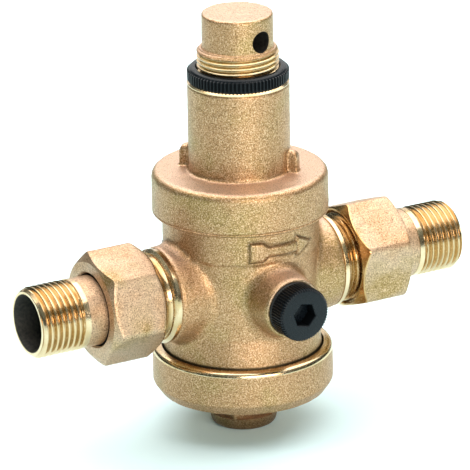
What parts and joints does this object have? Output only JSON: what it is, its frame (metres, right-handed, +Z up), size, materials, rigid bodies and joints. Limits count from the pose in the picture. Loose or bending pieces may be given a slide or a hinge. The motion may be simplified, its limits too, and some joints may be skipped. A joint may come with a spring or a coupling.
{
  "type": "pressure reducing valve",
  "caption": "Spring-loaded brass pressure reducing valve with an adjusting screw and lock ring on its tower, male union ends, gauge port plugs and a bottom cap.",
  "frame": {"origin": "middle of the lower face of the bottom cap's spanner boss", "axes": "+Z up along the adjusting screw, +X along the pipe from inlet to outlet, -Y towards the front gauge plug"},
  "size_m": [0.142, 0.0738, 0.127],
  "materials": {
    "cast_brass": "sand cast, matt",
    "machined_brass": "turned, bright",
    "stainless": "turned",
    "spring_steel": "drawn wire",
    "black_plastic": "moulded, satin",
    "white_plastic": "smooth",
    "rubber": "moulded",
    "fibre": "pressed fibre sheet"
  },
  "bodies": {
    "housing": {"body": "cast_brass", "bonnet": "cast_brass", "bottom_cap": "cast_brass", "bottom_cap_o_ring": "rubber", "seat_ring": "stainless", "seat_gasket": "fibre", "piston_bush": "machined_brass", "diaphragm": "rubber", "slip_ring": "white_plastic", "main_spring": "spring_steel"},
    "spring_plate": {"upper_spring_plate": "machined_brass"},
    "adjuster": {"adjusting_screw": "machined_brass"},
    "lock_ring": {"lock_ring": "black_plastic"},
    "valve_trim": {"spindle": "stainless", "lower_spring_plate": "machined_brass", "trim_nut": "stainless", "diaphragm_washer": "machined_brass", "disc_washer": "stainless", "valve_disc": "rubber", "disc_holder": "machined_brass", "piston_o_ring": "rubber"},
    "inlet_tail": {"inlet_tailpiece": "machined_brass", "inlet_union_gasket": "fibre"},
    "inlet_nut": {"inlet_union_nut": "cast_brass"},
    "outlet_tail": {"outlet_tailpiece": "machined_brass", "outlet_union_gasket": "fibre"},
    "outlet_nut": {"outlet_union_nut": "cast_brass"},
    "front_seal": {"front_plug_o_ring": "rubber"},
    "front_plug": {"front_gauge_plug": "black_plastic"},
    "rear_seal": {"rear_plug_o_ring": "rubber"},
    "rear_plug": {"rear_gauge_plug": "black_plastic"}
  },
  "joints": [
    {"name": "adjusting_travel", "type": "slide", "parent": "housing", "child": "spring_plate", "axis": [0, 0, 1], "range_m": [-0.0045, 0.006], "deforming": ["main_spring"]},
    {"name": "adjusting_turn", "type": "hinge", "parent": "spring_plate", "child": "adjuster", "pos_m": [0, 0, 0.12], "axis": [0, 0, 1], "range_deg": [-1080, 1440]},
    {"name": "lock_ring_turn", "type": "hinge", "parent": "housing", "child": "lock_ring", "pos_m": [0, 0, 0.1087], "axis": [0, 0, 1], "range_deg": [0, 90]},
    {"name": "valve_stroke", "type": "slide", "parent": "housing", "child": "valve_trim", "axis": [0, 0, 1], "range_m": [0, 0.0025], "deforming": ["main_spring", "diaphragm"]},
    {"name": "inlet_tail_release", "type": "slide", "parent": "housing", "child": "inlet_tail", "axis": [-1, 0, 0], "range_m": [0, 0.00726]},
    {"name": "inlet_nut_turn", "type": "hinge", "parent": "inlet_tail", "child": "inlet_nut", "pos_m": [-0.0417, 0, 0.045], "axis": [-1, 0, 0], "range_deg": [0, 1440]},
    {"name": "outlet_tail_release", "type": "slide", "parent": "housing", "child": "outlet_tail", "axis": [1, 0, 0], "range_m": [0, 0.00726]},
    {"name": "outlet_nut_turn", "type": "hinge", "parent": "outlet_tail", "child": "outlet_nut", "pos_m": [0.0417, 0, 0.045], "axis": [1, 0, 0], "range_deg": [0, 1440]},
    {"name": "front_seal_release", "type": "slide", "parent": "housing", "child": "front_seal", "axis": [0, -1, 0], "range_m": [0, 0.00669]},
    {"name": "front_plug_turn", "type": "hinge", "parent": "front_seal", "child": "front_plug", "pos_m": [0, -0.034, 0.045], "axis": [0, -1, 0], "range_deg": [0, 1800]},
    {"name": "rear_seal_release", "type": "slide", "parent": "housing", "child": "rear_seal", "axis": [0, 1, 0], "range_m": [0, 0.00669]},
    {"name": "rear_plug_turn", "type": "hinge", "parent": "rear_seal", "child": "rear_plug", "pos_m": [0, 0.034, 0.045], "axis": [0, 1, 0], "range_deg": [0, 1800]}
  ],
  "couplings": [
    {"joint": "adjusting_travel", "follows": "adjusting_turn", "m_per_rad": 0.00023873},
    {"joint": "inlet_tail_release", "follows": "inlet_nut_turn", "m_per_rad": 0.00028871},
    {"joint": "outlet_tail_release", "follows": "outlet_nut_turn", "m_per_rad": 0.00028871},
    {"joint": "front_seal_release", "follows": "front_plug_turn", "m_per_rad": 0.00021279},
    {"joint": "rear_seal_release", "follows": "rear_plug_turn", "m_per_rad": 0.00021279}
  ]
}
